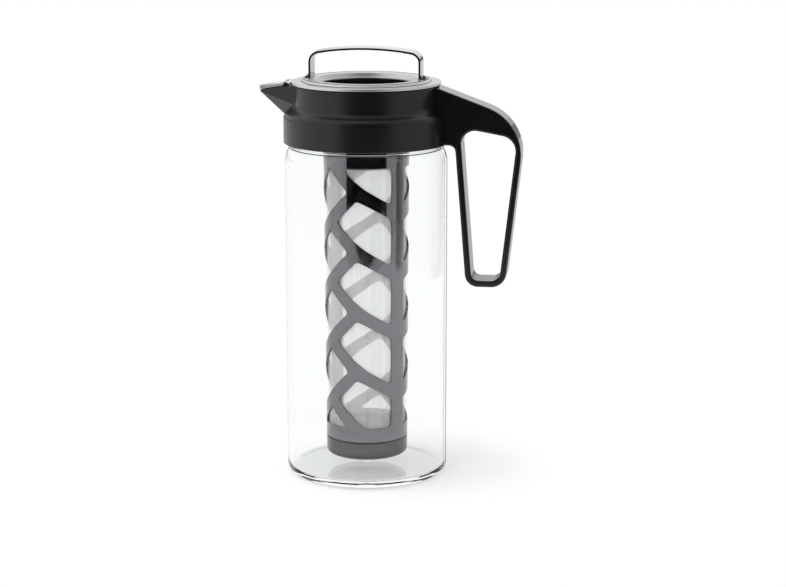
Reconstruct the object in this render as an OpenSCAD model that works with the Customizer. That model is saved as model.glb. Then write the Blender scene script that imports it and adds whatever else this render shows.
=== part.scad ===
// Cold brew carafe: a glass jug with a black collar, spout and band handle,
// a lift-off lid with a steel cover and loop, and a lattice filter hanging from the lid.
// Millimetres. Z is the jug axis, the origin is the centre of the base,
// the handle points along +X and the spout along -X.

/* [Glass jug] */
// Outer radius of the glass body
glass_r = 50; // [46:0.5:56]
// Thickness of the glass wall
glass_wall = 3; // [2:0.1:4]
// Thickness of the glass floor
glass_floor = 4.5; // [3:0.5:8]
// Height of the straight glass wall, up to the slope of its shoulder
glass_body_h = 203; // [170:1:230]
// Radius that rounds the outer edge of the base
glass_base_round = 5.6; // [4:0.2:8]
// Height that the sloping glass shoulder takes up
glass_shoulder_h = 8; // [6:0.5:9]
// Radius that blends the glass wall into its shoulder
glass_shoulder_round = 14; // [8:0.5:16]
// How far the glass neck stands in from the wall
neck_inset = 9.5; // [8.5:0.5:11]
// Height of the glass rim above the straight wall
neck_h = 30; // [27:0.5:33]

/* [Neck seal] */
// Thickness of the silicone sleeve round the glass neck
seal_t = 1.7; // [1:0.1:2.4]
// Thickness of the sleeve's flange over the glass rim
seal_flange = 1; // [0.6:0.1:1.6]

/* [Collar] */
// Wall thickness of the collar
collar_wall = 2.2; // [1.6:0.1:3]
// How far the skirt stands out past the glass body
collar_overhang = 0.6; // [0.3:0.1:2]
// Height of the skirt's lower edge above the straight glass wall
collar_lift = 4.3; // [4:0.1:6]
// Height of the skirt, up to its shoulder
skirt_h = 17.7; // [15:0.1:19]
// Height that the sloping shoulder takes up
shoulder_h = 4; // [3:0.1:6]
// Radius that blends the shoulder into the skirt and the neck
shoulder_round = 5; // [2:0.1:5]
// Height of the collar's neck above the shoulder
collar_neck_h = 14; // [12:0.1:18]
// Number of stiffening ribs inside the skirt
skirt_ribs = 10; // [6:1:16]

/* [Spout] */
// Distance from the axis to the tip of the spout
spout_reach = 65.5; // [60:0.5:72]
// Half of the spout's width where it leaves the neck
spout_half_w = 15.7; // [14:0.1:18]
// How far the spout's rim falls from the neck to the tip
spout_fall = 4.4; // [3:0.1:6]
// Wall thickness of the spout
spout_wall = 1.8; // [1.2:0.1:2.4]

/* [Pour flap] */
// Thickness of the flap at its edges
flap_t = 1.5; // [1:0.1:2]
// Extra height of the flap along its middle
flap_crown = 1; // [0.4:0.1:1.6]
// How far the flap reaches past the spout's tip
flap_overhang = 0.6; // [0:0.1:1.5]
// Diameter of the hinge pin
pin_d = 1.6; // [1.2:0.1:2]
// Radius of the flap's hinge barrel
barrel_r = 1.5; // [1.4:0.1:1.8]

/* [Handle] */
// Width of the handle's band
handle_w = 21; // [16:0.5:26]
// Thickness of the band
band_t = 3.9; // [3:0.1:5]
// Rounding of the band's long edges
band_edge = 1.2; // [0.4:0.1:1.4]
// Distance from the axis to the outer leg, at the skirt's lower edge
handle_reach = 96.5; // [88:0.5:110]
// Clear gap between the skirt and the inner leg
handle_gap = 4.9; // [4:0.1:8]
// How far the handle hangs below the skirt
handle_drop = 86.8; // [75:0.5:110]
// Slope of the handle's top, in degrees
handle_slope = 20.3; // [14:0.1:24]
// Height of the finger opening above the skirt's lower edge
grip_rise = 10.9; // [8:0.1:13]

/* [Lid] */
// How far the lid stands out past the collar's neck
lid_overhang = 1.2; // [0.6:0.1:2]
// Thickness of the lid's rim
rim_t = 1.6; // [1.4:0.1:2.4]
// Thickness of the steel cover
cover_t = 0.8; // [0.5:0.1:1]
// Outer radius of the raised ring on the lid
ring_r_out = 38.2; // [37.6:0.1:39.6]
// Radius of the recess inside the raised ring
recess_r = 31.4; // [29.5:0.1:32]
// Height of the raised ring above the rim
ring_h = 1.5; // [0.8:0.1:3]
// Depth of the recess below the raised ring
recess_depth = 3.5; // [2.5:0.1:4.2]
// Depth of the lid's plug below the rim
plug_h = 7; // [6.6:0.1:7.2]

/* [Loop] */
// Distance between the outer faces of the loop's legs
loop_span = 68.4; // [66:0.2:69]
// Height of the loop above the raised ring
loop_h = 19; // [16:0.5:30]
// Width of the loop's strap
loop_w = 16; // [12:0.5:18]
// Thickness of the strap
loop_t = 1.2; // [0.8:0.1:1.6]
// Radius of the loop's upper corners
loop_corner = 6.5; // [4:0.1:10]
// How far the top of the loop arches up
loop_arch = 3.2; // [1:0.1:6]

/* [Filter] */
// Outer radius of the cage at its top
cage_r_top = 26.6; // [25.5:0.1:28]
// Outer radius of the cage at its foot
cage_r_foot = 25.4; // [24.5:0.1:26]
// Wall thickness of the cage
cage_wall = 2; // [1.8:0.1:2.6]
// Wall thickness of the lattice, which is thinned from inside to seat the screen
lattice_wall = 1.2; // [1:0.1:1.5]
// Gap between the filter and the glass floor
floor_gap = 7.3; // [5:0.1:20]
// Height of the twist-off cap below its seam
cap_h = 11.2; // [9:0.1:16]
// Height of the closed ring above the seam
cage_ring_h = 9; // [8:0.1:14]
// Height of the closed band at the top of the cage
cage_band_h = 45.6; // [42:0.1:60]
// Height of one lattice cell
cell_pitch = 37.3; // [32:0.1:44]
// Turn of the lattice about the axis, in degrees
lattice_turn = -34; // [-90:1:90]
// Thickness of the filter screen
screen_t = 0.5; // [0.3:0.1:0.8]
// Turn that frees the filter from the lid, in degrees
filter_twist = 35; // [25:1:45]
// Turn that frees the cap from the cage, in degrees
cap_twist = 40; // [25:1:50]

/* [Clearances] */
// Gap between pieces that move past each other
run_gap = 0.3; // [0.2:0.05:0.4]
// Gap between pieces that are seated on each other
seat_gap = 0.05; // [0.02:0.01:0.1]
// Radial gap round the hinge pin
pin_gap = 0.05; // [0.02:0.01:0.08]

/* [Hidden] */
$fn = 96;
eps = 0.01;

// Glass neck and the foot of the sleeves round it
neck_r = glass_r - neck_inset;
neck_z = glass_body_h + glass_shoulder_h;
neck_fillet = 4;
sleeve_z = neck_z + neck_fillet / 2;

// Heights, from the base up
rim_z = glass_body_h + neck_h;
skirt_z = glass_body_h + collar_lift;
shoulder_z = skirt_z + skirt_h;
collar_top = shoulder_z + shoulder_h + collar_neck_h;
ledge_z = rim_z + seal_flange + seat_gap;
ledge_t = 1.4;
lid_z = collar_top + run_gap;
rim_top = lid_z + rim_t;
ring_top = rim_top + ring_h;
recess_z = ring_top - recess_depth;
plug_z = lid_z - plug_h;

// Radii of the collar and the lid
shoulder_steps = 8;
bore_r = neck_r + seal_t + seat_gap;
neck_out = bore_r + collar_wall;
skirt_r = glass_r + collar_overhang;
lid_r = neck_out + lid_overhang;
plug_r = bore_r - 0.6;
plug_wall = 2.2;

// Steps of the pressed cover, and the seal's groove in the plug
step_w = 1.2;
recess_lean = 1.4;
groove_h = 1.6;
groove_depth = 1;
groove_z = lid_z - groove_h - 0.5;

// Rivets and feet of the loop
rivet_r = 0.9;
rivet_head_r = 1.3;
rivet_x = loop_span / 2 + rivet_head_r + 0.1;
rivet_hole_z = ring_top - 3;
rivet_hole_h = ring_top - rivet_hole_z + loop_t + 1;
foot_w = 8.5;
foot_l = 4;

// Handle: slopes of the legs and of the finger opening, corner radii, and the tongue in the skirt
outer_lean = 6.5;
inner_lean = 4.7;
grip_slope = 10.2;
knuckle_r = 31;
heel_r = 9.5;
toe_r = 8;
nook_r = 4;
band_steps = 9;
flat_steps = 8;
grip_radii = [8.4, 9.5, 6, 4.5];
key_h = 10;
key_w = 9;
key_head_w = 14;
key_head_t = 1.2;
key_lip = 0.4;
key_z = skirt_z + 3;

// Spout rim and flap hinge
spout_tip_r = 1.8;
spout_root_x = sqrt(pow(neck_out, 2) - pow(spout_half_w, 2));
spout_floor_z = ledge_z + ledge_t;
hinge_x = -(lid_r + barrel_r + 2 * run_gap);
hinge_z = collar_top - 0.4;
rim_angle = atan2(spout_fall, spout_reach - neck_out);
ear_t = 2;
ear_h = 5;
ear_x = barrel_r - hinge_x;
barrel_half = spout_half(ear_x) - ear_t - run_gap;

// Half of the spout's width at distance x from the axis
function spout_half(x) =
    let (tip = spout_reach - spout_tip_r)
    spout_tip_r + (spout_half_w - spout_tip_r) * (tip - x) / (tip - spout_root_x + 1);

// Filter heights and radii
cap_z = glass_floor + floor_gap;
seam_z = cap_z + cap_h;
lattice_foot = seam_z + cage_ring_h;
core_under = recess_z - 2.8;
cage_top = core_under - 2 * run_gap;
lattice_top = cage_top - cage_band_h;
spigot_r = cage_r_top - cage_wall - run_gap;
spigot_wall = 2;
spigot_h = 17;
lug_h = 3;
lug_angle = 14;
slot_play = 1.5;
lug_drop = 12;
lug_z = core_under - lug_drop;
cap_spigot_r = cage_r_foot - cage_wall - run_gap;
cap_spigot_h = 6;
cap_lug_h = 2;
cap_lug_z = seam_z + 2.6;
cap_lug_out = 0.8;
cap_lugs = 3;
seam_bevel = 0.4;
screen_low = seam_z + cap_spigot_h + 2 * run_gap;
screen_high = core_under - spigot_h - 2 * run_gap;

// Windows of the lattice, each corner as [degrees past the upright, height in cells, corner radius]
wide_front = [[118.5, 0, 3], [169, -0.335, 4], [169, -1.09, 1.5], [124.6, -0.767, 25],
              [88, -0.362, 2.5]];
leaf_front = [[74, -0.51, 0.3], [107, -0.871, 2.5], [50, -1.54, 25], [12.5, -2.04, 1.2],
              [12.5, -1.383, 2.5], [45, -0.86, 25]];
wide_back = [[111.6, -0.57, 3], [171, -1.05, 4], [171, -1.77, 1.5], [126.3, -1.462, 25],
             [79.3, -0.921, 2.5]];
leaf_back = [[67, -1.09, 0.3], [100, -1.42, 2.5], [42, -1.87, 25], [12.5, -2.08, 1.2],
             [12.5, -1.35, 2], [42, -1.24, 25]];
lattice_phase = 0.49;
window_step = 6;
window_least = 4;
clip_round = 3;
round_reach = 2.9;

// Unit vector along v
function unit(v) = v / norm(v);

// Angle from a to b by the shorter way round
function turn(a, b) = let (d = b - a) d > 180 ? d - 360 : d < -180 ? d + 360 : d;

// Points of the arc that rounds corner p, between neighbours before and after
function corner(before, p, after, r, steps) =
    r <= 0 ? [p] :
    let (
        u = unit(before - p),
        v = unit(after - p),
        half = acos(u * v) / 2,
        centre = p + unit(u + v) * r / sin(half),
        first = p + u * r / tan(half) - centre,
        last = p + v * r / tan(half) - centre,
        a = atan2(first.y, first.x),
        sweep = turn(a, atan2(last.y, last.x))
    )
    [for (k = [0 : steps]) centre + r * [cos(a + sweep * k / steps), sin(a + sweep * k / steps)]];

// Closed outline through the points, each corner rounded by its own radius
function rounded(pts, radii, steps = 5) =
    let (n = len(pts))
    [for (i = [0 : n - 1]) each corner(pts[(i + n - 1) % n], pts[i], pts[(i + 1) % n], radii[i], steps)];

// Radii that suit the corners: none takes up more than round_reach, or half, of an edge beside it
function fitted(pts, radii) =
    let (n = len(pts))
    [for (i = [0 : n - 1])
        let (
            before = pts[(i + n - 1) % n] - pts[i],
            after = pts[(i + 1) % n] - pts[i],
            half = acos(unit(before) * unit(after)) / 2
        )
        min(radii[i], min(round_reach, 0.48 * norm(before), 0.48 * norm(after)) * tan(half))];

// Corners [x, z, radius] on one side of a height: below it for side 1, above it for side -1
function clipped(corners, limit, side) =
    let (n = len(corners))
    [for (i = [0 : n - 1])
        let (
            p = corners[i],
            q = corners[(i + 1) % n],
            a = side * (limit - p.y),
            b = side * (limit - q.y)
        )
        each concat(a >= 0 ? [p] : [],
                    a * b < 0 ? [[p.x + (q.x - p.x) * a / (a - b), limit, clip_round]] : [])];

// The same outline with no edge longer than step
function densify(pts, step) =
    let (n = len(pts))
    [for (i = [0 : n - 1])
        let (a = pts[i], b = pts[(i + 1) % n], parts = max(1, ceil(norm(b - a) / step)))
        for (k = [0 : parts - 1]) a + (b - a) * k / parts];

// Crossing of the line through p at angle a and the line through q at angle b
function meet(p, a, q, b) =
    let (d = [cos(a), sin(a)], e = [cos(b), sin(b)], gap = q - p)
    p + d * (gap.x * e.y - gap.y * e.x) / (d.x * e.y - d.y * e.x);

// Point p moved by d to the left of a line at angle a
function aside(p, a, d) = p + d * [-sin(a), cos(a)];

// Solid skinned over rings of points, all rings alike and each one flat
module loft(rings) {
    n = len(rings[0]);
    last = len(rings) - 1;
    points = [for (ring = rings) each ring];
    sides = [for (i = [0 : last - 1], j = [0 : n - 1], half = [0, 1])
        let (a = i * n + j, b = i * n + (j + 1) % n)
        half == 0 ? [a, b, b + n] : [a, b + n, a + n]];
    first_cap = [for (j = [n - 1 : -1 : 0]) j];
    last_cap = [for (j = [0 : n - 1]) last * n + j];
    polyhedron(points, concat(sides, [first_cap, last_cap]));
}

// Ring of the given height between two radii
module ring(r_in, r_out, h) {
    difference() {
        cylinder(r = r_out, h = h);
        translate([0, 0, -eps]) cylinder(r = r_in, h = h + 2 * eps);
    }
}

// Sector of a ring, starting at angle a
module ring_sector(r_in, r_out, h, a, sweep) {
    rotate([0, 0, a])
        rotate_extrude(angle = sweep)
            translate([r_in, 0]) square([r_out - r_in, h]);
}

// Cylinder along Y, centred on the origin
module bar(r, length) {
    rotate([90, 0, 0]) cylinder(r = r, h = length, center = true);
}

// Jug

module glass_jug() {
    body_in = glass_r - glass_wall;
    neck_in = neck_r - glass_wall;
    under = glass_wall * tan(atan2(neck_inset, glass_shoulder_h) / 2);
    outer = [[0, 0], [glass_r, 0], [glass_r, glass_body_h], [neck_r, neck_z], [neck_r, rim_z]];
    inner = [[neck_in, rim_z], [neck_in, neck_z - under], [body_in, glass_body_h - under],
             [body_in, glass_floor], [0, glass_floor]];
    base_in = max(glass_base_round - glass_wall, 2);
    lip = 1.4;
    radii = [0, glass_base_round, glass_shoulder_round, neck_fillet, lip, lip, neck_fillet + glass_wall,
             glass_shoulder_round - glass_wall, base_in, 0];
    pontil_r = 5;
    pontil_depth = 0.5;
    color("lightcyan", 0.4)
        difference() {
            rotate_extrude() polygon(rounded(concat(outer, inner), radii, 8));
            translate([0, 0, glass_floor - pontil_depth]) cylinder(r = pontil_r, h = pontil_depth + 1);
        }
}

// Silicone sleeve between the glass neck and the collar, with a flange over the glass rim
module neck_seal() {
    flange_in = neck_r - glass_wall + 1;
    sleeve_in = neck_r + seat_gap;
    sleeve_out = neck_r + seal_t;
    flange_z = rim_z + seat_gap;
    profile = [[sleeve_in, sleeve_z], [sleeve_out, sleeve_z], [sleeve_out, rim_z + seal_flange],
               [flange_in, rim_z + seal_flange], [flange_in, flange_z], [sleeve_in, flange_z]];
    color("gainsboro")
        rotate_extrude() polygon(rounded(profile, [0.4, 0.4, 0.4, 0.4, 0, 0], 3));
}

// Collar

// Outer outline of the collar
collar_outline = rounded([[0, skirt_z], [skirt_r, skirt_z], [skirt_r, shoulder_z],
                          [neck_out, shoulder_z + shoulder_h], [neck_out, collar_top], [0, collar_top]],
                         [0, 0.8, shoulder_round, shoulder_round, 0.5, 0], shoulder_steps);

// Space inside the skirt, between its wall and the sleeve
module skirt_hollow() {
    sleeve_out = bore_r + collar_wall;
    wall_in = skirt_r - collar_wall;
    low = skirt_z - 1;
    high = shoulder_z - collar_wall;
    rotate_extrude()
        polygon(rounded([[sleeve_out, low], [wall_in, low], [wall_in, high], [sleeve_out, high + 1]],
                        [0, 0, 2, 0.6], 5));
    translate([0, 0, low]) ring(bore_r - 1, sleeve_out + eps, sleeve_z - low);
}

// Spout grown to the given wall: 0 is its outside, spout_wall its inside
module spout_wedge(inset) {
    top = inset > 0 ? collar_top + 4 : collar_top;
    tip_top = inset > 0 ? top : collar_top - spout_fall;
    tip_low = inset > 0 ? collar_top - spout_fall - 0.7 : collar_top - spout_fall - 1.2;
    root_low = inset > 0 ? spout_floor_z : shoulder_z + shoulder_h + 2;
    keel_low = inset > 0 ? spout_floor_z : shoulder_z - 1.4;
    side_r = 1.5;
    root_x = spout_root_x - 1;
    root_y = spout_half_w - side_r - inset * 1.2;
    tip_r = max(spout_tip_r - inset * 0.5, 0.6);
    keel_x = skirt_r - 3.2;
    hull() {
        translate([-(spout_reach - spout_tip_r - inset * 0.8), 0, tip_low])
            cylinder(r = tip_r, h = tip_top - tip_low, $fn = 32);
        for (s = [-1, 1])
            translate([-root_x, s * root_y, root_low]) cylinder(r = side_r, h = top - root_low, $fn = 32);
        translate([-keel_x + inset, 0, keel_low]) cylinder(r = 3, h = 4, $fn = 32);
    }
}

// Lug inside the spout's wall that holds one end of the hinge pin
module hinge_ear(s) {
    ear_y = barrel_half + run_gap + ear_t / 2;
    translate([hinge_x, s * ear_y, hinge_z]) bar(barrel_r, ear_t);
    translate([hinge_x - barrel_r, s * ear_y - ear_t / 2, hinge_z - ear_h])
        cube([2 * barrel_r, ear_t, ear_h]);
}

// Collar and spout with their bores, before the hinge is fitted
module collar_shell() {
    rib_w = 1.4;
    rib_rise = 6;
    rib_z = skirt_z + rib_rise;
    difference() {
        union() {
            difference() {
                rotate_extrude() polygon(collar_outline);
                skirt_hollow();
            }
            difference() {
                spout_wedge(0);
                cylinder(r = neck_out - collar_wall / 2, h = collar_top + 1);
            }
            for (i = [0 : skirt_ribs - 1])
                rotate([0, 0, (i + 0.5) * 360 / skirt_ribs])
                    translate([neck_out - 0.5, -rib_w / 2, rib_z])
                        cube([skirt_r - neck_out - 0.5, rib_w, shoulder_z - rib_z - 2]);
        }
        translate([0, 0, skirt_z - 1]) cylinder(r = bore_r, h = ledge_z - skirt_z + 1);
        translate([0, 0, ledge_z - 1]) cylinder(r = neck_r - glass_wall + 1, h = collar_top - ledge_z + 2);
        translate([0, 0, spout_floor_z]) cylinder(r = bore_r, h = collar_top - spout_floor_z + 1);
        spout_wedge(spout_wall);
    }
}

module collar() {
    color([0.1, 0.1, 0.11])
        difference() {
            union() {
                collar_shell();
                for (s = [-1, 1]) hinge_ear(s);
            }
            flap_sweep();
            translate([hinge_x, 0, hinge_z]) bar(pin_d / 2 + pin_gap / 2, 2 * spout_half_w);
            handle_key(seat_gap);
        }
}

// Room that the flap's barrel turns in
module flap_sweep() {
    translate([hinge_x, 0, hinge_z]) bar(barrel_r + run_gap, 2 * (barrel_half + run_gap));
}

// Handle

// Outside of the handle at y, moved inwards by d: root on the collar, outer leg, foot, inner leg
function handle_outline(y, d) =
    let (
        top_a = -handle_slope,
        out_a = -90 - outer_lean,
        in_a = 90 + inner_lean,
        top_p = aside([neck_out, collar_top - 0.8], top_a, -d),
        out_p = aside([handle_reach, skirt_z], out_a, -d),
        foot_p = aside([handle_reach, skirt_z - handle_drop], 180, -d),
        in_p = aside([skirt_r + handle_gap, skirt_z], in_a, -d),
        root_p = aside([skirt_r, skirt_z], 180, -d),
        low_r = skirt_r + seat_gap,
        high_r = neck_out + seat_gap,
        high_p = meet(top_p, top_a, [sqrt(high_r * high_r - y * y), 0], 90),
        seat = rounded([[low_r, root_p.y], [low_r, shoulder_z], [high_r, shoulder_z + shoulder_h],
                        [high_r, high_p.y]], [0, shoulder_round, shoulder_round, 0], shoulder_steps),
        root = [for (q = seat) [sqrt(q.x * q.x - y * y), q.y]],
        knuckle = meet(top_p, top_a, out_p, out_a),
        heel = meet(out_p, out_a, foot_p, 180),
        toe = meet(foot_p, 180, in_p, in_a),
        nook = meet(in_p, in_a, root_p, 180)
    )
    concat(root,
           corner(high_p, knuckle, heel, knuckle_r - d, band_steps),
           corner(knuckle, heel, toe, heel_r - d, band_steps),
           corner(heel, toe, nook, toe_r - d, band_steps),
           corner(toe, nook, root[0], nook_r + d, band_steps));

// Finger opening of the handle, grown by d, point for point beside the outside
function grip_outline(d) =
    let (
        top_a = -grip_slope,
        out_a = -90 - outer_lean,
        in_a = 90 + inner_lean,
        in_x = skirt_r + handle_gap + band_t,
        top_p = aside([in_x, skirt_z + grip_rise], top_a, d),
        out_p = aside([handle_reach - band_t, skirt_z], out_a, d),
        foot_p = aside([handle_reach, skirt_z - handle_drop + band_t], 180, d),
        in_p = aside([in_x, skirt_z], in_a, d),
        corners = [meet(in_p, in_a, top_p, top_a), meet(top_p, top_a, out_p, out_a),
                   meet(out_p, out_a, foot_p, 180), meet(foot_p, 180, in_p, in_a)],
        split = band_steps + 1,
        first_steps = split + 2 * shoulder_steps + 3,
        arcs = [for (i = [0 : 3])
            corner(corners[(i + 3) % 4], corners[i], corners[(i + 1) % 4], grip_radii[i] + d,
                   i == 0 ? first_steps : band_steps)]
    )
    concat([for (k = [split : first_steps]) arcs[0][k]], arcs[1], arcs[2], arcs[3],
           [for (k = [0 : split - 1]) arcs[0][k]]);

// Stations across the band, each as [y, how far the edge is rounded in there]
function band_stations(half, edge) =
    let (
        flat = half - edge,
        side = [for (a = [0 : 30 : 90]) [flat + edge * cos(a), edge * (1 - sin(a))]],
        middle = [for (k = [1 : flat_steps - 1]) [flat * (1 - 2 * k / flat_steps), 0]]
    )
    concat(side, middle, [for (i = [len(side) - 1 : -1 : 0]) [-side[i].x, side[i].y]]);

// Closed frame skinned between matching rings of outer and inner points
module frame_loft(outer, inner) {
    n = len(outer[0]);
    last = len(outer) - 1;
    skip = n * (last + 1);
    end = n * last;
    points = concat([for (ring = outer) each ring], [for (ring = inner) each ring]);
    sides = [for (i = [0 : last - 1], j = [0 : n - 1], part = [0 : 3])
        let (a = i * n + j, b = i * n + (j + 1) % n, c = a + skip, d = b + skip)
        part == 0 ? [a, b, b + n] :
        part == 1 ? [a, b + n, a + n] :
        part == 2 ? [c, d + n, d] : [c, c + n, d + n]];
    caps = [for (j = [0 : n - 1], part = [0 : 3])
        let (a = j, b = (j + 1) % n, c = a + skip, d = b + skip)
        part == 0 ? [b, a, c] :
        part == 1 ? [b, c, d] :
        part == 2 ? [a + end, b + end, d + end] : [a + end, d + end, c + end]];
    polyhedron(points, concat(sides, caps));
}

// Tongue of the handle, and the slot for it when grown by gap
module handle_key(gap = 0) {
    inside = skirt_r - collar_wall;
    head_r = inside - seat_gap;
    head_a = 2 * asin(key_head_w / 2 / inside);
    translate([inside - key_head_t / 2, -key_w / 2 - gap, key_z - gap])
        cube([key_head_t / 2 + collar_wall + 2, key_w + 2 * gap, key_h + 2 * gap]);
    if (gap == 0)
        translate([0, 0, key_z - key_lip])
            ring_sector(head_r - key_head_t, head_r, key_h + 2 * key_lip, -head_a / 2, head_a);
}

module handle() {
    stations = band_stations(handle_w / 2, band_edge);
    color([0.07, 0.07, 0.08])
        union() {
            frame_loft([for (s = stations) [for (p = handle_outline(s[0], s[1])) [p.x, s[0], p.y]]],
                       [for (s = stations) [for (p = grip_outline(s[1])) [p.x, s[0], p.y]]]);
            handle_key();
        }
}

// Flap

// Ring of points across the flap at distance x from the axis
function flap_ring(x, half_w) =
    let (
        low = collar_top + run_gap - (x - neck_out) * tan(rim_angle),
        steps = 8
    )
    concat([for (k = [0 : steps]) let (y = half_w * (1 - 2 * k / steps))
                [-x, y, low + flap_t + flap_crown * (1 - pow(y / half_w, 2))]],
           [[-x, -half_w, low], [-x, half_w, low]]);

module pour_flap() {
    root_x = 0.8 - hinge_x;
    wing_x = ear_x + run_gap;
    tip_x = spout_reach + flap_overhang;
    nose = 3.5;
    brim = 0.3;
    tip_half = spout_half(tip_x - nose) + brim;
    root = [[root_x, barrel_half - 0.1], [wing_x, barrel_half - 0.1]];
    wings = [for (k = [0 : 3])
        let (x = wing_x + eps + (tip_x - nose - wing_x) * k / 3)
        [x, spout_half(x) + brim]];
    rounding = [for (a = [25 : 20 : 85]) [tip_x - nose + nose * sin(a), tip_half * cos(a)]];
    color([0.62, 0.62, 0.63])
        difference() {
            union() {
                loft([for (s = concat(root, wings, rounding)) flap_ring(s[0], s[1])]);
                translate([hinge_x, 0, hinge_z]) bar(barrel_r, 2 * barrel_half);
            }
            translate([hinge_x, 0, hinge_z]) bar(pin_d / 2 + pin_gap, 4 * barrel_half);
        }
}

module flap_pin() {
    color("silver")
        translate([hinge_x, 0, hinge_z]) bar(pin_d / 2, 2 * (barrel_half + run_gap + ear_t) - 0.4);
}

// Lid

// Places of the loop's rivets
module at_rivets() {
    for (s = [-1, 1]) translate([s * rivet_x, 0, 0]) children();
}

// Holes for the rivets
module rivet_holes() {
    at_rivets()
        translate([0, 0, rivet_hole_z]) cylinder(r = rivet_r + seat_gap, h = rivet_hole_h, $fn = 32);
}

// Pressed steel cover: rim, raised ring and the wall of the recess
module lid_cover() {
    lip_w = 1.6;
    lip_r = recess_r - recess_lean - lip_w;
    top = [[lid_r, lid_z], [lid_r, rim_top], [ring_r_out + step_w, rim_top], [ring_r_out, ring_top],
           [recess_r, ring_top], [recess_r - recess_lean, recess_z + cover_t], [lip_r, recess_z + cover_t]];
    under = [[lip_r, recess_z], [recess_r - recess_lean + cover_t, recess_z],
             [recess_r + cover_t, ring_top - cover_t], [ring_r_out - cover_t, ring_top - cover_t],
             [ring_r_out + step_w - cover_t, rim_top - cover_t], [lid_r - cover_t, rim_top - cover_t],
             [lid_r - cover_t, lid_z]];
    radii = [0, 0.6, 0.8, 0.7, 0.8, 0.4, 0.3, 0, 0, 0, 0, 0, 0, 0];
    color("silver")
        difference() {
            rotate_extrude() polygon(rounded(concat(top, under), radii, 4));
            rivet_holes();
        }
}

// Black plug under the cover, with the strainer slots and the filter's spigot
module lid_core() {
    g = seat_gap;
    rim_in = lid_r - cover_t - g;
    profile = [[0, recess_z - g], [recess_r - recess_lean + cover_t + g, recess_z - g],
               [recess_r + cover_t + g, ring_top - cover_t - g],
               [ring_r_out - cover_t - g, ring_top - cover_t - g],
               [ring_r_out + step_w - cover_t - g, rim_top - cover_t - g],
               [rim_in, rim_top - cover_t - g], [rim_in, lid_z], [plug_r, lid_z], [plug_r, plug_z],
               [plug_r - plug_wall, plug_z], [plug_r - plug_wall, core_under],
               [spigot_r, core_under], [spigot_r, core_under - spigot_h],
               [spigot_r - spigot_wall, core_under - spigot_h], [spigot_r - spigot_wall, core_under],
               [0, core_under]];
    slots = 5;
    slot_angle = 6;
    slot_w = 3;
    slot_h = groove_z - plug_z - 0.8;
    color([0.09, 0.09, 0.1])
        difference() {
            union() {
                rotate_extrude() polygon(profile);
                for (s = [90, 270])
                    translate([0, 0, lug_z])
                        ring_sector(spigot_r - 0.5, cage_r_top - 0.8, lug_h, s - lug_angle / 2, lug_angle);
            }
            translate([0, 0, groove_z]) ring(plug_r - groove_depth, plug_r + 1, groove_h);
            for (i = [0 : slots - 1])
                rotate([0, 0, 180 + (i - (slots - 1) / 2) * slot_angle])
                    translate([plug_r - plug_wall - 1, -slot_w / 2, plug_z - 1])
                        cube([plug_wall + 3, slot_w, slot_h + 1]);
            rivet_holes();
        }
}

// Silicone ring in the plug's groove, with a double lip
module lid_seal() {
    r_in = plug_r - groove_depth + seat_gap;
    r_out = bore_r - run_gap / 2;
    low = groove_z + seat_gap;
    high = groove_z + groove_h - seat_gap;
    mid = (low + high) / 2;
    profile = [[r_in, low], [plug_r, low], [r_out, low + 0.2], [plug_r + 0.2, mid], [r_out, high - 0.2],
               [plug_r, high], [r_in, high]];
    color("gainsboro") rotate_extrude() polygon(profile);
}

// Outline of the loop, moved inwards by d
function loop_outline(d) =
    let (
        half = loop_span / 2 - d,
        top = ring_top + loop_h - d,
        spring = top - loop_arch,
        arch_r = (pow(loop_span / 2, 2) + pow(loop_arch, 2)) / (2 * loop_arch) - d,
        a = asin((half - loop_corner) / arch_r),
        n = 12
    )
    rounded(concat([[half, ring_top]], [[half, spring]],
                   [for (k = [1 : n - 1]) let (t = a * (1 - 2 * k / n))
                       [arch_r * sin(t), top - arch_r * (1 - cos(t))]],
                   [[-half, spring]], [[-half, ring_top]]),
            concat([0, loop_corner - d], [for (k = [1 : n - 1]) 0], [loop_corner - d, 0]), 8);

module lid_loop() {
    seat = ring_top + seat_gap;
    color("silver")
        difference() {
            union() {
                intersection() {
                    rotate([90, 0, 0])
                        linear_extrude(height = loop_w, center = true)
                            difference() {
                                polygon(loop_outline(0));
                                polygon(loop_outline(loop_t));
                            }
                    translate([-loop_span, -loop_w, seat]) cube([2 * loop_span, 2 * loop_w, 2 * loop_h]);
                }
                for (s = [0, 180])
                    rotate([0, 0, s])
                        translate([loop_span / 2 - loop_t, -foot_w / 2, seat]) cube([foot_l, foot_w, loop_t]);
            }
            rivet_holes();
        }
}

// Two rivets through the loop's feet, with domed heads
module loop_rivets() {
    seat = ring_top + seat_gap + loop_t + seat_gap;
    head_h = 0.8;
    shank = 3;
    color("silver")
        at_rivets() {
            translate([0, 0, seat - shank]) cylinder(r = rivet_r, h = shank + head_h / 2, $fn = 32);
            translate([0, 0, seat])
                rotate_extrude($fn = 32)
                    polygon(rounded([[0, 0], [rivet_head_r, 0], [rivet_head_r * 0.8, head_h], [0, head_h]],
                                    [0, 0.1, 0.5, 0], 4));
        }
}

// Filter

// Outer radius of the cage at height z
function cage_r(z) = cage_r_foot + (cage_r_top - cage_r_foot) * (z - seam_z) / (cage_top - seam_z);

// Point at radius r, for window coordinates [arc length, height]
function on_cage(r, p, arc) = [r * cos(p.x / arc), r * sin(p.x / arc), p.y];

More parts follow.
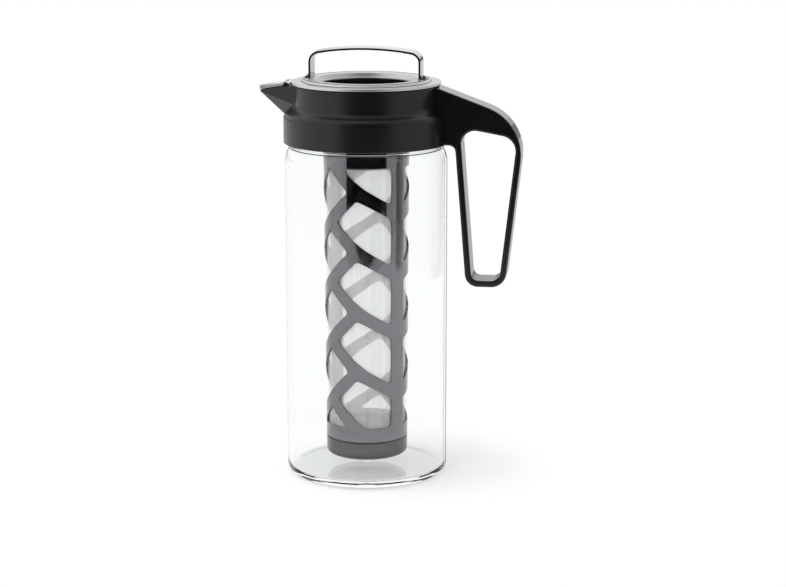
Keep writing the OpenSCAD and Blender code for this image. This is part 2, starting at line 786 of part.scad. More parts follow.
// Cutter for one window of the lattice, held between the closed band and the foot ring
module window(corners, z) {
    mean_r = (cage_r_top + cage_r_foot) / 2;
    arc = mean_r * PI / 180;
    whole = [for (c = corners) [c.x * arc, z + c.y * cell_pitch, c.z]];
    cut = clipped(clipped(whole, lattice_top, 1), lattice_foot, -1);
    sharp = [for (c = cut) [c.x, c.y]];
    heights = [for (c = cut) c.y];
    if (len(cut) > 2 && max(heights) - min(heights) > window_least) {
        pts = densify(rounded(sharp, fitted(sharp, [for (c = cut) c.z]), 4), window_step);
        n = len(pts);
        mid = [for (axis = [0, 1]) [for (c = sharp) c[axis]] * [for (c = sharp) 1 / len(sharp)]];
        near = mean_r * 0.4;
        far = mean_r * 1.6;
        points = concat([for (p = pts) on_cage(near, p, arc)], [for (p = pts) on_cage(far, p, arc)],
                        [on_cage(near, mid, arc), on_cage(far, mid, arc)]);
        faces = [for (j = [0 : n - 1], part = [0 : 3])
            let (k = (j + 1) % n)
            part == 0 ? [j, k, k + n] :
            part == 1 ? [j, k + n, j + n] :
            part == 2 ? [k, j, 2 * n] : [j + n, k + n, 2 * n + 1]];
        polyhedron(points, faces);
    }
}

// All windows of both halves
module windows() {
    rows = ceil((lattice_top - lattice_foot) / cell_pitch);
    for (i = [-1 : rows]) {
        z = lattice_top + (lattice_phase - i) * cell_pitch;
        rotate([0, 0, lattice_turn + 180])
            for (corners = [wide_front, leaf_front]) window(corners, z);
        rotate([0, 0, lattice_turn])
            for (corners = [wide_back, leaf_back]) window(corners, z);
    }
}

// Point of the cage's profile at height z, in from the outside by wall
function cage_point(z, wall) = [cage_r(z) - wall, z];

// Cage: tapered tube with leaf-shaped windows between two uprights and slanting ribs
module filter_cage() {
    pocket_low = screen_low - run_gap;
    pocket_high = screen_high + run_gap;
    profile = [cage_point(seam_z, cage_wall), cage_point(seam_z, seam_bevel),
               cage_point(seam_z + seam_bevel, 0), cage_point(cage_top, 0), cage_point(cage_top, cage_wall),
               cage_point(pocket_high, cage_wall), cage_point(pocket_high, lattice_wall),
               cage_point(pocket_low, lattice_wall), cage_point(pocket_low, cage_wall)];
    slot_from = -filter_twist - lug_angle / 2 - slot_play;
    color([0.2, 0.2, 0.21])
        difference() {
            rotate_extrude() polygon(profile);
            windows();
            for (s = [90, 270]) {
                translate([0, 0, lug_z - run_gap])
                    ring_sector(spigot_r - 1, cage_r_top + 1, lug_h + 2 * run_gap, s + slot_from,
                                filter_twist + lug_angle + 2 * slot_play);
                translate([0, 0, lug_z - run_gap])
                    ring_sector(spigot_r - 1, cage_r_top + 1, cage_top - lug_z + 1, s + slot_from,
                                lug_angle + 2 * slot_play);
            }
            for (i = [0 : cap_lugs - 1])
                rotate([0, 0, i * 360 / cap_lugs]) cap_groove();
        }
}

// Groove in the cage's foot for one lug of the cap
module cap_groove() {
    r_in = cap_spigot_r - 1;
    r_out = cap_spigot_r + run_gap + cap_lug_out + run_gap;
    from = -lug_angle / 2 - slot_play;
    translate([0, 0, cap_lug_z - run_gap])
        ring_sector(r_in, r_out, cap_lug_h + 2 * run_gap, from - cap_twist,
                    cap_twist + lug_angle + 2 * slot_play);
    translate([0, 0, seam_z - 1])
        ring_sector(r_in, r_out, cap_lug_z - seam_z + 1 + cap_lug_h, from - cap_twist,
                    lug_angle + 2 * slot_play);
}

// Fine screen that lines the lattice
module filter_screen() {
    out = lattice_wall + run_gap;
    color("whitesmoke")
        rotate_extrude()
            polygon([cage_point(screen_low, out + screen_t), cage_point(screen_low, out),
                     cage_point(screen_high, out), cage_point(screen_high, out + screen_t)]);
}

// Twist-off cup that closes the foot of the cage
module filter_cap() {
    wall = cage_wall;
    foot_round = 3;
    seat = seam_z - run_gap;
    spigot_top = seam_z + cap_spigot_h;
    spigot_in = cap_spigot_r - 1.8;
    profile = [[0, cap_z], [cage_r_foot, cap_z], [cage_r_foot, seat], [cap_spigot_r, seat],
               [cap_spigot_r, spigot_top], [spigot_in, spigot_top], [spigot_in, cap_z + wall],
               [0, cap_z + wall]];
    color([0.18, 0.18, 0.19])
        union() {
            rotate_extrude() polygon(rounded(profile, [0, foot_round, seam_bevel, 0, 0.4, 0.4, 2, 0], 5));
            for (i = [0 : cap_lugs - 1])
                translate([0, 0, cap_lug_z])
                    ring_sector(cap_spigot_r - 0.5, cap_spigot_r + run_gap + cap_lug_out, cap_lug_h,
                                i * 360 / cap_lugs - lug_angle / 2, lug_angle);
        }
}

glass_jug();
neck_seal();
collar();
handle();
pour_flap();
flap_pin();
lid_cover();
lid_core();
lid_seal();
lid_loop();
loop_rivets();
filter_cage();
filter_screen();
filter_cap();
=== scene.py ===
"""Looks of the cold brew carafe.

The CAD nodes get procedural materials. The filter cage is replaced by a copy with smoother window edges,
and four thin rings are added: three dark ones of painted shade at the lid, and a glass bead on the shoulder.
A pale floor, a white studio and the photograph's camera complete the scene.
"""

import math

import bmesh
import bpy
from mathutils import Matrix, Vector


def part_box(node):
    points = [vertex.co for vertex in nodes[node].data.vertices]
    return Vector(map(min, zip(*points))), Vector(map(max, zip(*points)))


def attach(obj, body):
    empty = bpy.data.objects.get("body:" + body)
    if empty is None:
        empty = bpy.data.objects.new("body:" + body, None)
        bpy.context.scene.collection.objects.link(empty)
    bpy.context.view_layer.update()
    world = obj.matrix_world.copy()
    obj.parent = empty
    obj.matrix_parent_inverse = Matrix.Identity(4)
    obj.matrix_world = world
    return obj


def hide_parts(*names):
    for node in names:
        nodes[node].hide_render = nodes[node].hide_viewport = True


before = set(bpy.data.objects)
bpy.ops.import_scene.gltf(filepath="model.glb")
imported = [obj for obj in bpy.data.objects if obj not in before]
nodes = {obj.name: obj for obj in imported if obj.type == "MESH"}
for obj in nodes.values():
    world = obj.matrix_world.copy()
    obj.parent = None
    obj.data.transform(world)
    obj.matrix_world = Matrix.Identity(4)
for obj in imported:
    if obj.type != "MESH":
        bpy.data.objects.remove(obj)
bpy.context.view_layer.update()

# Camera, fitted to the photograph's outlines: place in metres, direction of view, sensor and lens
CAMERA_AT = (0.18893, -1.26414, 0.39060)
CAMERA_FORWARD = (-0.13207, 0.96814, -0.21276)
CAMERA_AZIMUTH = math.atan2(CAMERA_AT[0], -CAMERA_AT[1])
SENSOR_MM = 36.0
LENS_MM = 96.37

# Spans of a noise's values over which a surface's gloss changes
CLOUD_SPAN = (0.3, 0.7)
GRAIN_SPAN = (0.25, 0.75)
SMEAR_SPAN = (0.45, 0.8)

# Mouldings: both ends of their mottle, waves per metre of mottle and grain, relief of the grain in metres
BLACK_TONES = ((0.002, 0.002, 0.0022, 1), (0.004, 0.004, 0.0044, 1))
# The flap's tones are lighter than its black moulding: a painted reflection of the bright studio on its roof
FLAP_PAINTED_LIGHT_TONES = ((0.10, 0.10, 0.102, 1), (0.13, 0.13, 0.132, 1))
MOTTLE_SCALE = 90.0
GRAIN_SCALE = 2600.0
GRAIN_DETAIL = 2.0
GRAIN_STRENGTH = 0.25
GRAIN_DEPTH = 0.00003
FLAP_GRAIN_DEPTH = 0.00002
SHEEN_ROUGHNESS = 0.35

# Steel: waves per metre of its clouds and polishing lines, how far these change its tone and roughness
STEEL_CLOUD_SCALE = 60.0
STEEL_LINE_SCALES = (40.0, 900.0, 900.0)
STEEL_LINE_DETAIL = 4.0
STEEL_LINE_STRENGTH = 0.08
STEEL_LINE_DEPTH = 0.00002
STEEL_SPREAD = 0.06
STEEL_BLUE = 0.005
STEEL_EDGE_TINT = 0.8

# Glass: index of refraction below real glass, whose edges came out too dark; tint, smears, swells, shadow
GLASS_TINT = (0.985, 0.995, 0.995, 1)
GLASS_IOR = 1.33
GLASS_ROUGH = (0.0, 0.012)
SMEAR_SCALE = 35.0
SWELL_SCALES = (14.0, 14.0, 4.0)
SWELL_DETAIL = 1.0
SWELL_STRENGTH = 0.005
SWELL_DEPTH = 0.0006
SHADOW_PASS = 0.88

# Silicone: both ends of its dusty tone, its roughness, and the dust's waves per metre and relief
SILICONE_TONES = ((0.72, 0.73, 0.73, 1), (0.80, 0.80, 0.79, 1))
SILICONE_ROUGH = (0.42, 0.55)
DUST_SCALE = 220.0
DUST_STRENGTH = 0.1
DUST_DEPTH = 0.00005

# Screen: periods of its weave round the tube and per metre along it, and how the threads cover it
SCREEN_TONES = ((0.90, 0.905, 0.91, 1), (0.95, 0.95, 0.95, 1))
SCREEN_ROUGH = (0.5, 0.65)
WEAVE_ROUND = 300.0
WEAVE_ALONG = 2000.0
THREAD_SPAN = (0.11, 0.25)
THREAD_COVER = (1.0, 0.04)
THREAD_STRENGTH = 0.2
THREAD_DEPTH = 0.00005
SHADE_SCALE = 500.0

# Coated filter: both ends of its tone as shares, blue second; its clouds, roughness and grain
COATING_SHARES = ((0.9, 0.95), (1.1, 1.16))
COATING_CLOUD_SCALE = 120.0
COATING_ROUGH = (0.05, 0.09)
COATING_GRAIN_SCALE = 900.0
COATING_GRAIN_STRENGTH = 0.03
COATING_GRAIN_DEPTH = 0.00002

# Cage: heights in metres between which its windows lie
WINDOWS_LOW = 0.030
WINDOWS_HIGH = 0.1965

# Cage: part of a face's normal along the radius, at least in a wall and at most in a window's side
WALL_FACING = 0.95
SIDE_FACING = 0.6

# Cage: that part from which a face is shaded as round
ROUND_FACING = 0.9

# Smoothing of window edges: rounds, share of the way per round, shortest edge and furthest move in metres
EDGE_ROUNDS = 14
EDGE_PULL = 0.5
EDGE_SHORT = 0.0002
EDGE_REACH = 0.0008

# Lengths in metres: vertices that are closer count as one, and the least length to divide by
WELD = 1e-6
TINY = 1e-9

# Rings of painted shade and the glass bead: points along and round each of them
RING_STEPS = 160
RING_SIDES = 12

# Lid's cover in metres: how far its rim lies below its top ring, and how thick the rim is
RIM_DROP = 0.0015
RIM_T = 0.0016

# Painted shadow: a dark ring laid in the gap under the lid's rim, where only shade falls; how far inside and
# under the rim, its own radius, and half the angle left open at the spout
SHADOW_LINE_INSET = 0.0006
SHADOW_LINE_BELOW = 0.0002
SHADOW_LINE_TUBE = 0.0004
SHADOW_LINE_OPENING = math.radians(24)

# Painted shade: dark rings laid in the creases of the lid's cover, where shade falls; in metres, how far
# inside its edge, their own radius, how far sunk
CREASE_TOP_INSET = 0.00765
CREASE_TOP_TUBE = 0.0002
CREASE_TOP_SUNK = 0.00005
CREASE_FOOT_INSET = 0.00625
CREASE_FOOT_TUBE = 0.00025

# Bead on the glass shoulder in metres: how far inside the glass and under the collar, its own radius
BEAD_INSET = 0.0030
BEAD_BELOW = 0.0022
BEAD_TUBE = 0.0008

# Floor: a pale table just under the base, which fades to plain white outside the object's shadow
FLOOR_HALF = 0.68
FLOOR_DROP = 0.0002
FLOOR_ALBEDO = 0.76
FLOOR_MOTTLE = 0.01
FLOOR_GRAIN_SCALE = 60.0
SHADOW_SPAN = (0.075, 0.12)
FLOOR_WHITE = 0.45

# Studio: plain fill, and a dark gap on the camera's side, wider for rays off gloss and through the glass
AMBIENT = 0.95
GAP_HALF_ANGLE = math.radians(36)
GAP_THROUGH_ANGLE = math.radians(55)
GAP_SOFT_ANGLE = math.radians(2.5)
GAP_TOP = math.sin(math.radians(60))
GAP_TOP_SOFT = 0.12
GAP_LEVEL = 0.01

# Studio: a dimmer right side, less so for those rays, which fades out between two angles from the camera
RIGHT_LEVEL = 0.62
RIGHT_THROUGH_LEVEL = 0.85
RIGHT_SPAN = (math.radians(100), math.radians(150))

# Studio: a dark line at the horizon that fades in behind the object
HORIZON_LOW = math.sin(math.radians(-2.5))
HORIZON_HIGH = math.sin(math.radians(1.5))
HORIZON_SOFT = 0.02
HORIZON_FADE = (0.2, 0.5)

# Depth of a ray that tells no bounce from one or more
HALF_BOUNCE = 0.5


def grey(level, blue=None):
    """A grey colour, with another level for its blue if one is given."""
    return (level, level, level if blue is None else blue, 1)


class Graph:
    """A node tree with short calls to add nodes and to link or set their inputs."""

    # Places of the factor and both colours among a Mix node's inputs, and of the colour among its outputs
    MIX_INPUTS = (0, 6, 7)
    MIX_OUTPUT = 2

    def __init__(self, tree):
        self.tree = tree
        tree.nodes.clear()

    def put(self, node, name, value):
        """Links an output to a node's input, or sets the input to a plain value."""
        if isinstance(value, bpy.types.NodeSocket):
            self.tree.links.new(value, node.inputs[name])
        else:
            node.inputs[name].default_value = value

    def fill(self, node, names, values):
        for name, value in zip(names, values):
            self.put(node, name, value)

    def add(self, kind, **inputs):
        """A new node with its inputs filled; an underscore stands for a space in their names."""
        node = self.tree.nodes.new(kind)
        self.fill(node, [name.replace("_", " ") for name in inputs], inputs.values())
        return node

    def math(self, operation, *values):
        node = self.add("ShaderNodeMath")
        node.operation = operation
        self.fill(node, range(len(values)), values)
        return node.outputs[0]

    def product(self, first, *others):
        for other in others:
            first = self.math("MULTIPLY", first, other)
        return first

    def highest(self, first, *others):
        for other in others:
            first = self.math("MAXIMUM", first, other)
        return first

    def ramp(self, value, span, levels, smooth=False):
        """Carries a value from a span over to two levels, and holds these outside the span."""
        node = self.add("ShaderNodeMapRange")
        node.interpolation_type = "SMOOTHSTEP" if smooth else "LINEAR"
        names = ("Value", "From Min", "From Max", "To Min", "To Max")
        self.fill(node, names, (value, *span, *levels))
        return node.outputs["Result"]

    def soft_step(self, value, at, soft, levels):
        """A smooth step between two levels, centred on one value."""
        return self.ramp(value, (at - soft, at + soft), levels, smooth=True)

    def noise(self, vector, scale, detail=3.0):
        return self.add("ShaderNodeTexNoise", Vector=vector, Scale=scale, Detail=detail).outputs["Fac"]

    def stretched_noise(self, vector, scales, detail):
        """Noise with a scale of its own along each axis."""
        stretched = self.add("ShaderNodeMapping", Vector=vector, Scale=scales)
        return self.noise(stretched.outputs["Vector"], 1.0, detail)

    def bump(self, height, strength, depth):
        return self.add("ShaderNodeBump", Height=height, Strength=strength, Distance=depth).outputs["Normal"]

    def mix_color(self, factor, first, second):
        node = self.add("ShaderNodeMix")
        node.data_type = "RGBA"
        self.fill(node, self.MIX_INPUTS, (factor, first, second))
        return node.outputs[self.MIX_OUTPUT]

    def mix_shader(self, factor, first, second):
        node = self.add("ShaderNodeMixShader")
        self.fill(node, range(3), (factor, first, second))
        return node.outputs[0]

    def principled(self, **inputs):
        return self.add("ShaderNodeBsdfPrincipled", **inputs).outputs["BSDF"]

    def transparent(self, level=1.0):
        return self.add("ShaderNodeBsdfTransparent", Color=grey(level)).outputs[0]

    def light_path(self):
        return self.add("ShaderNodeLightPath").outputs


def material(name):
    """A new material, its empty graph, and coordinates that stay on it: metres in the part's frame."""
    made = bpy.data.materials.new(name)
    made.use_nodes = True
    graph = Graph(made.node_tree)
    return made, graph, graph.add("ShaderNodeTexCoord").outputs["Object"]


def moulded_plastic(name, tones, rough, specular, grain_depth=GRAIN_DEPTH, sheen=0.0, faint=0.0):
    """Moulding with a slight mottle in its colour, and a fine spark-eroded grain in its relief and gloss.

    A faint one lets through that share of the rays that come off gloss and then through the glass.
    """
    made, graph, where = material(name)
    mottle = graph.noise(where, MOTTLE_SCALE)
    grain = graph.noise(where, GRAIN_SCALE, GRAIN_DETAIL)
    shader = graph.principled(
        Base_Color=graph.mix_color(mottle, *tones),
        Roughness=graph.ramp(grain, GRAIN_SPAN, rough),
        Specular_IOR_Level=specular,
        Sheen_Weight=sheen,
        Sheen_Roughness=SHEEN_ROUGHNESS,
        Normal=graph.bump(grain, GRAIN_STRENGTH, grain_depth),
    )
    if faint:
        path = graph.light_path()
        bounced = graph.math("GREATER_THAN", path["Glossy Depth"], HALF_BOUNCE)
        share = graph.product(bounced, path["Is Transmission Ray"], faint)
        shader = graph.mix_shader(share, shader, graph.transparent())
    graph.add("ShaderNodeOutputMaterial", Surface=shader)
    return made


def polished_steel(name, rough, tone):
    """Bright pressed steel: faint lines from polishing, with soft cloudy changes of tone and gloss."""
    made, graph, where = material(name)
    lines = graph.stretched_noise(where, STEEL_LINE_SCALES, STEEL_LINE_DETAIL)
    cloud = graph.noise(where, STEEL_CLOUD_SCALE)
    gloss = graph.ramp(cloud, CLOUD_SPAN, (rough, rough + STEEL_SPREAD))
    shader = graph.principled(
        Base_Color=graph.mix_color(cloud, grey(tone, tone + STEEL_BLUE), grey(tone + STEEL_SPREAD)),
        Metallic=1.0,
        Specular_Tint=grey(STEEL_EDGE_TINT),
        Roughness=graph.math("ADD", gloss, graph.product(lines, STEEL_SPREAD)),
        Normal=graph.bump(lines, STEEL_LINE_STRENGTH, STEEL_LINE_DEPTH),
    )
    graph.add("ShaderNodeOutputMaterial", Surface=shader)
    return made


def clear_glass():
    """Thick clear glass with the faintest waviness, which lets most light through to its shadow."""
    made, graph, where = material("clear_glass")
    swell = graph.stretched_noise(where, SWELL_SCALES, SWELL_DETAIL)
    smear = graph.noise(where, SMEAR_SCALE)
    shader = graph.principled(
        Base_Color=GLASS_TINT,
        Roughness=graph.ramp(smear, SMEAR_SPAN, GLASS_ROUGH),
        IOR=GLASS_IOR,
        Transmission_Weight=1.0,
        Normal=graph.bump(swell, SWELL_STRENGTH, SWELL_DEPTH),
    )
    shadow = graph.light_path()["Is Shadow Ray"]
    shader = graph.mix_shader(shadow, shader, graph.transparent(SHADOW_PASS))
    graph.add("ShaderNodeOutputMaterial", Surface=shader)
    return made


def silicone():
    """Pale soft rubber, slightly dusty."""
    made, graph, where = material("silicone")
    dust = graph.noise(where, DUST_SCALE)
    shader = graph.principled(
        Base_Color=graph.mix_color(dust, *SILICONE_TONES),
        Roughness=graph.ramp(dust, CLOUD_SPAN, SILICONE_ROUGH),
        Normal=graph.bump(dust, DUST_STRENGTH, DUST_DEPTH),
    )
    graph.add("ShaderNodeOutputMaterial", Surface=shader)
    return made


def fine_mesh():
    """White woven screen: threads round and along the tube, open between them."""
    made, graph, where = material("fine_mesh")
    at = graph.add("ShaderNodeSeparateXYZ", Vector=where).outputs
    around = graph.product(graph.math("ARCTAN2", at["Y"], at["X"]), WEAVE_ROUND)
    along = graph.product(at["Z"], 2.0 * math.pi * WEAVE_ALONG)
    warp, weft = (graph.math("ABSOLUTE", graph.math("SINE", phase)) for phase in (around, along))
    thread = graph.math("MINIMUM", warp, weft)
    shade = graph.noise(where, SHADE_SCALE)
    shader = graph.principled(
        Base_Color=graph.mix_color(shade, *SCREEN_TONES),
        Roughness=graph.ramp(shade, CLOUD_SPAN, SCREEN_ROUGH),
        Alpha=graph.ramp(thread, THREAD_SPAN, THREAD_COVER),
        Normal=graph.bump(thread, THREAD_STRENGTH, THREAD_DEPTH),
    )
    graph.add("ShaderNodeOutputMaterial", Surface=shader)
    return made


def satin_metal(name, tone):
    """Dark coated surface of the filter: an even mirror of the studio, slightly softened."""
    made, graph, where = material(name)
    cloud = graph.noise(where, COATING_CLOUD_SCALE)
    grain = graph.noise(where, COATING_GRAIN_SCALE, GRAIN_DETAIL)
    tones = [grey(tone * share, tone * blue) for share, blue in COATING_SHARES]
    shader = graph.principled(
        Base_Color=graph.mix_color(cloud, *tones),
        Metallic=1.0,
        Roughness=graph.ramp(cloud, CLOUD_SPAN, COATING_ROUGH),
        Normal=graph.bump(grain, COATING_GRAIN_STRENGTH, COATING_GRAIN_DEPTH),
    )
    graph.add("ShaderNodeOutputMaterial", Surface=shader)
    return made


def seen_ray(graph):
    """1 for rays that show the background: from the camera, off gloss, or through glass."""
    path = graph.light_path()
    return graph.highest(path["Is Camera Ray"], path["Is Glossy Ray"], path["Is Transmission Ray"])


def floor_surface():
    """Pale floor that takes the shadow near the object and fades to plain white further out."""
    made, graph, where = material("pale_floor")
    away = graph.add("ShaderNodeVectorMath")
    away.operation = "LENGTH"
    graph.put(away, 0, where)
    grain = graph.noise(where, FLOOR_GRAIN_SCALE)
    tone = graph.mix_color(grain, grey(FLOOR_ALBEDO - FLOOR_MOTTLE), grey(FLOOR_ALBEDO))
    lit = graph.add("ShaderNodeBsdfDiffuse", Color=tone)
    white = graph.add("ShaderNodeEmission", Color=grey(1), Strength=1.0)
    far = graph.ramp(away.outputs["Value"], SHADOW_SPAN, (FLOOR_WHITE, 1.0), smooth=True)
    whitened = graph.product(far, seen_ray(graph))
    shader = graph.mix_shader(whitened, lit.outputs[0], white.outputs[0])
    graph.add("ShaderNodeOutputMaterial", Surface=shader)
    return made


def studio_world():
    """White for the camera; gloss also mirrors a dark gap, a dimmer right side and a line at the horizon."""
    world = bpy.data.worlds.new("studio")
    bpy.context.scene.world = world
    world.use_nodes = True
    graph = Graph(world.node_tree)
    towards = graph.add("ShaderNodeTexCoord").outputs["Generated"]
    way = graph.add("ShaderNodeSeparateXYZ", Vector=towards).outputs
    azimuth = graph.math("ARCTAN2", way["X"], graph.product(way["Y"], -1.0))
    turned = graph.math("SUBTRACT", azimuth, CAMERA_AZIMUTH)
    above = graph.soft_step(way["Z"], GAP_TOP, GAP_TOP_SOFT, (0.0, 1.0))
    leftward = graph.ramp(turned, (-GAP_SOFT_ANGLE, GAP_SOFT_ANGLE), (1.0, 0.0))

    def gap(half_angle, right_level):
        """Brightness round the studio, with a gap of that half angle and that level on the right."""
        aside = graph.math("ABSOLUTE", turned)
        beside = graph.soft_step(aside, half_angle, GAP_SOFT_ANGLE, (GAP_LEVEL, 1.0))
        right = graph.ramp(turned, RIGHT_SPAN, (right_level, 1.0), smooth=True)
        return graph.product(graph.highest(beside, above), graph.highest(leftward, right))

    over = graph.soft_step(way["Z"], HORIZON_HIGH, HORIZON_SOFT, (0.0, 1.0))
    under = graph.soft_step(way["Z"], HORIZON_LOW, HORIZON_SOFT, (1.0, 0.0))
    front = graph.ramp(way["Y"], HORIZON_FADE, (1.0, 0.0), smooth=True)
    horizon = graph.highest(over, under, front)
    path = graph.light_path()
    passed = path["Is Transmission Ray"]
    # A ray through smooth glass counts as glossy too, so it is taken off
    bounced = graph.highest(graph.math("SUBTRACT", path["Is Glossy Ray"], passed), 0.0)
    mirrored = graph.product(bounced, gap(GAP_HALF_ANGLE, RIGHT_LEVEL), horizon)
    direct = graph.math("LESS_THAN", path["Glossy Depth"], HALF_BOUNCE)
    through = graph.product(passed, graph.highest(direct, gap(GAP_THROUGH_ANGLE, RIGHT_THROUGH_LEVEL)))
    seen = graph.highest(path["Is Camera Ray"], mirrored, through)
    hidden = graph.math("SUBTRACT", 1.0, seen_ray(graph))
    strength = graph.math("ADD", seen, graph.product(hidden, AMBIENT))
    background = graph.add("ShaderNodeBackground", Color=grey(1), Strength=strength)
    graph.add("ShaderNodeOutputWorld", Surface=background.outputs[0])


def add_object(name, data):
    """Puts a mesh, a lamp or a camera into the scene."""
    added = bpy.data.objects.new(name, data)
    bpy.context.scene.collection.objects.link(added)
    return added


def facing(direction):
    """Rotation that turns a lamp or a camera along a direction."""
    return Vector(direction).to_track_quat("-Z", "Y").to_euler()


def softbox(name, at, aim, width, height, watts, mirrored=False):
    """A rectangular lamp, unseen by the camera and through glass, and seen by gloss only if mirrored."""
    data = bpy.data.lights.new(name, "AREA")
    data.shape = "RECTANGLE"
    data.size = width
    data.size_y = height
    data.energy = watts
    lamp = add_object(name, data)
    lamp.location = at
    lamp.rotation_euler = facing(Vector(aim) - Vector(at))
    lamp.visible_camera = False
    lamp.visible_transmission = False
    lamp.visible_glossy = mirrored


def dress(node, made):
    """Gives a CAD node one material in every slot."""
    data = nodes[node].data
    if not data.materials:
        data.materials.append(made)
    for index in range(len(data.materials)):
        data.materials[index] = made


def radial(point):
    """Unit vector from the jug's axis towards a point."""
    return Vector((point.x, point.y, 0)).normalized()


def window_edges(net):
    """The vertices on the edges of the cage's windows, each with its neighbours along these edges."""
    beside = {}
    for edge in net.edges:
        outward = [abs(face.normal.dot(radial(face.calc_center_median()))) for face in edge.link_faces]
        inside = all(WINDOWS_LOW < end.co.z < WINDOWS_HIGH for end in edge.verts)
        if len(outward) == 2 and max(outward) > WALL_FACING and min(outward) < SIDE_FACING and inside:
            for end in edge.verts:
                beside.setdefault(end, []).append(edge.other_vert(end))
    return beside


def smooth_edges(beside):
    """Evens out each vertex between its two neighbours, at its own radius and within the furthest move."""
    start = {point: point.co.copy() for point in beside}
    for _ in range(EDGE_ROUNDS):
        moved = {}
        for point, near in beside.items():
            if len(near) == 2:
                weights = [1 / max((other.co - point.co).length, EDGE_SHORT) for other in near]
                middle = (near[0].co * weights[0] + near[1].co * weights[1]) / sum(weights)
                step = point.co.lerp(middle, EDGE_PULL) - start[point]
                moved[point] = start[point] + step * min(1.0, EDGE_REACH / max(step.length, TINY))
        for point, at in moved.items():
            radius = math.hypot(start[point].x, start[point].y)
            point.co = radial(at) * radius + Vector((0, 0, at.z))


def round_normals(mesh):
    """Shades the cage's curved walls as round, and its other faces as flat."""
    normals = []
    for face in mesh.polygons:
        face.use_smooth = True
        towards = face.normal.dot(radial(face.center))
        for index in face.vertices:
            if abs(towards) > ROUND_FACING:
                normals.append(radial(mesh.vertices[index].co) * math.copysign(1, towards))
            else:
                normals.append(face.normal.copy())
    mesh.normals_split_custom_set(normals)


def smooth_cage(made):
    """The CAD cage with the short waves taken out of its window edges."""
    mesh = nodes["filter_cage"].data.copy()
    net = bmesh.new()
    net.from_mesh(mesh)
    bmesh.ops.remove_doubles(net, verts=net.verts, dist=WELD)
    net.normal_update()
    smooth_edges(window_edges(net))
    net.normal_update()
    net.to_mesh(mesh)
    net.free()
    round_normals(mesh)
    mesh.materials.clear()
    mesh.materials.append(made)
    cage = add_object("lattice_cage", mesh)
    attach(cage, "filter")
    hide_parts("filter_cage")


def ring(name, radius, tube, z, body, made, opening=0.0):
    """A thin round ring about the jug's axis, used for the lines of painted shade and for the glass bead,
    left open by that half angle at the spout.
    """
    spans = RING_STEPS - 1 if opening else RING_STEPS
    points = []
    for step in range(RING_STEPS):
        turn = math.pi + opening + 2 * (math.pi - opening) * step / spans
        for side in range(RING_SIDES):
            roll = 2 * math.pi * side / RING_SIDES
            out = radius + tube * math.cos(roll)
            points.append((out * math.cos(turn), out * math.sin(turn), z + tube * math.sin(roll)))
    faces = []
    for step in range(spans):
        here = step * RING_SIDES
        there = (step + 1) % RING_STEPS * RING_SIDES
        for side in range(RING_SIDES):
            after = (side + 1) % RING_SIDES
            faces.append((here + side, there + side, there + after, here + after))
    walls = len(faces)
    if opening:
        last = (RING_STEPS - 1) * RING_SIDES
        faces.append(tuple(reversed(range(RING_SIDES))))
        faces.append(tuple(range(last, last + RING_SIDES)))
    mesh = bpy.data.meshes.new(name)
    mesh.from_pydata(points, [], faces)
    for face in mesh.polygons:
        face.use_smooth = face.index < walls
    mesh.materials.append(made)
    trim = add_object(name, mesh)
    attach(trim, body)


def lay_floor():
    """The floor, square to the camera."""
    bpy.ops.mesh.primitive_plane_add(
        size=2 * FLOOR_HALF,
        location=(0, 0, -FLOOR_DROP),
        rotation=(0, 0, CAMERA_AZIMUTH),
    )
    floor = bpy.context.object
    floor.name = "floor"
    floor.data.materials.append(floor_surface())


def photo_camera():
    """The camera, as fitted to the photograph."""
    data = bpy.data.cameras.new("camera")
    data.sensor_fit = "HORIZONTAL"
    data.sensor_width = SENSOR_MM
    data.lens = LENS_MM
    camera = add_object("camera", data)
    camera.location = CAMERA_AT
    camera.rotation_euler = facing(CAMERA_FORWARD)
    bpy.context.scene.camera = camera


# Materials
black = moulded_plastic("satin_black", BLACK_TONES, rough=(0.28, 0.34), specular=0.42)
smooth_black = moulded_plastic("smooth_black", BLACK_TONES, rough=(0.18, 0.24), specular=0.42, faint=0.75)
# The flap is given lighter tones as a painted reflection on its roof
flap_black = moulded_plastic(
    "flap_black", FLAP_PAINTED_LIGHT_TONES, rough=(0.09, 0.14), specular=1.0, grain_depth=FLAP_GRAIN_DEPTH, sheen=1.0
)
# Matt black of the lid's core, also the colour of the rings of painted shade at the lid
dull = moulded_plastic("dull_black", BLACK_TONES, rough=(0.75, 0.85), specular=0.0)
steel = polished_steel("polished_steel", rough=0.08, tone=0.45)
cover_steel = polished_steel("cover_steel", rough=0.36, tone=0.66)
pale = silicone()
glass = clear_glass()

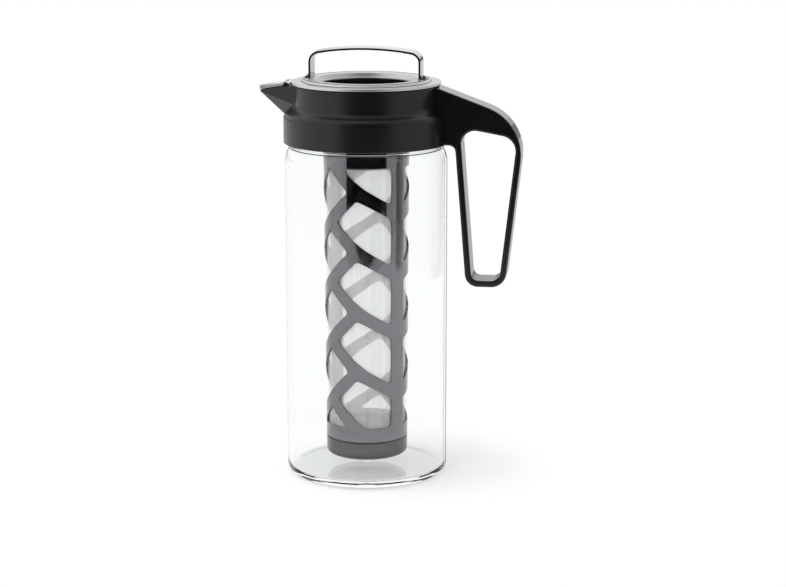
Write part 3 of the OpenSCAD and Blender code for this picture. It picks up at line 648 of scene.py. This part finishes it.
# CAD nodes
dress("collar", black)
dress("handle", smooth_black)
dress("pour_flap", flap_black)
dress("lid_cover", cover_steel)
for node in ("lid_loop", "loop_rivets", "flap_pin"):
    dress(node, steel)
for node in ("neck_seal", "lid_seal"):
    dress(node, pale)
dress("lid_core", dull)
# The cap is the cage's coating at half its tone: painted shade on the filter's lower end
dress("filter_cap", satin_metal("cap_satin_shaded", tone=0.09))
dress("filter_screen", fine_mesh())
dress("glass_jug", glass)
smooth_cage(satin_metal("cage_satin", tone=0.18))

# Painted shade: a dark ring in the gap under the lid and dark rings in the creases of its pressed cover; and
# a glass bead on the shoulder
cover_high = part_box("lid_cover")[1]
lid_r = cover_high.x
ring_top = cover_high.z
rim_top = ring_top - RIM_DROP
shadow_line_r = lid_r - SHADOW_LINE_INSET
shadow_line_z = rim_top - RIM_T - SHADOW_LINE_BELOW
ring("lid_shadow_line", shadow_line_r, SHADOW_LINE_TUBE, shadow_line_z, "lid", dull, SHADOW_LINE_OPENING)
top_r = lid_r - CREASE_TOP_INSET
top_z = ring_top - CREASE_TOP_SUNK
ring("lid_crease_shade_top", top_r, CREASE_TOP_TUBE, top_z, "lid", dull)
foot_r = lid_r - CREASE_FOOT_INSET
ring("lid_crease_shade_foot", foot_r, CREASE_FOOT_TUBE, rim_top, "lid", dull)
bead_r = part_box("glass_jug")[1].x - BEAD_INSET
bead_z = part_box("collar")[0].z - BEAD_BELOW
ring("shoulder_bead", bead_r, BEAD_TUBE, bead_z, "jug", glass)

# Studio
lay_floor()
studio_world()
softbox("left_box", at=(-0.60, -0.20, 0.95), aim=(0, 0, 0.10), width=0.7, height=0.7, watts=6.5)
softbox("front_box", at=(-0.35, -1.10, 0.55), aim=(0, 0, 0.12), width=0.6, height=0.6, watts=4.5)
softbox("right_box", at=(0.95, -0.25, 0.60), aim=(0, 0, 0.14), width=0.6, height=0.9, watts=1.0)
softbox("top_box", at=(-0.15, 0.35, 1.15), aim=(0, 0, 0.10), width=1.0, height=0.8, watts=1.5)
softbox("back_box", at=(0, 1.5, 0.60), aim=(0, 0, 0.25), width=1.5, height=0.5, watts=0.7, mirrored=True)
photo_camera()
bpy.context.scene.view_settings.view_transform = "Standard"
